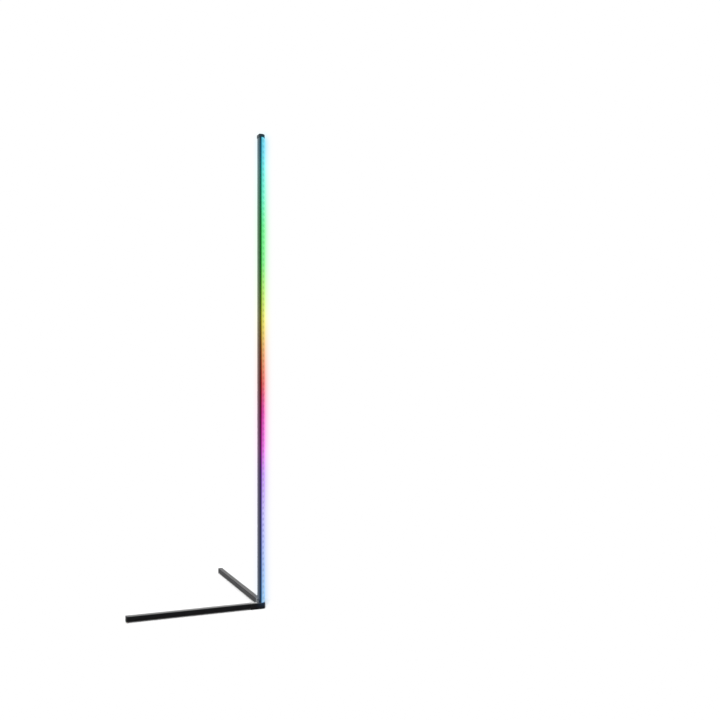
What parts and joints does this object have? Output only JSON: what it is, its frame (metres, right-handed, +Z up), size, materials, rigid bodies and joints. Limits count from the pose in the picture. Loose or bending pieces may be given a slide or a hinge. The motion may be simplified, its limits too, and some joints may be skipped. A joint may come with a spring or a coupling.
{
  "type": "corner floor lamp",
  "caption": "Slim light column with a round opal front, standing in an elbow with two low legs that run along the walls of a room corner.",
  "frame": {"origin": "on the floor, where the axes of the two legs cross, at the centre of the corner foot", "axes": "+Z up along the pole, the near leg along -X, the far leg along +Y, the light leaves along (+1, -1, 0)"},
  "size_m": [0.4178, 0.4178, 1.4],
  "materials": {
    "pole_anodised": "black anodised, fine extrusion grain, satin",
    "leg_coated": "black powder coat, fine texture",
    "moulded_black": "black moulded plastic, fine spark grain",
    "opal_plastic": "opal, lit from behind in a run of colours",
    "foam": "white adhesive foam",
    "circuit": "white solder mask",
    "chip_package": "white package, clear window",
    "capacitor": "fired ceramic with tinned ends",
    "foot_rubber": "matt black rubber",
    "foot_clear": "clear silicone, slightly milky",
    "black_screw": "black oxide",
    "zinc_screw": "zinc plated",
    "brass": "turned brass",
    "socket_black": "black moulded plastic",
    "lead_red": "silicone insulation",
    "lead_green": "silicone insulation",
    "lead_black": "silicone insulation"
  },
  "bodies": {
    "root": {"pole_profile": "pole_anodised", "diffuser": "opal_plastic", "tape_foam": "foam", "tape_circuit": "circuit", "light_chips": "chip_package", "tape_capacitors": "capacitor", "top_cap": "moulded_black", "near_leg": "leg_coated", "near_leg_cap": "moulded_black", "near_leg_foot": "foot_clear", "near_leg_screw": "black_screw", "near_leg_insert": "brass", "far_leg": "leg_coated", "far_leg_cap": "moulded_black", "far_leg_foot": "foot_clear", "far_leg_screw": "black_screw", "far_leg_insert": "brass", "corner_connector": "moulded_black", "bottom_cover": "moulded_black", "cover_screws": "black_screw", "connector_feet": "foot_rubber", "pole_screw": "zinc_screw", "inlet_socket": "socket_black", "inlet_nut": "brass", "inlet_pins": "brass", "supply_lead": "lead_red", "data_lead": "lead_green", "ground_lead": "lead_black"}
  },
  "joints": []
}
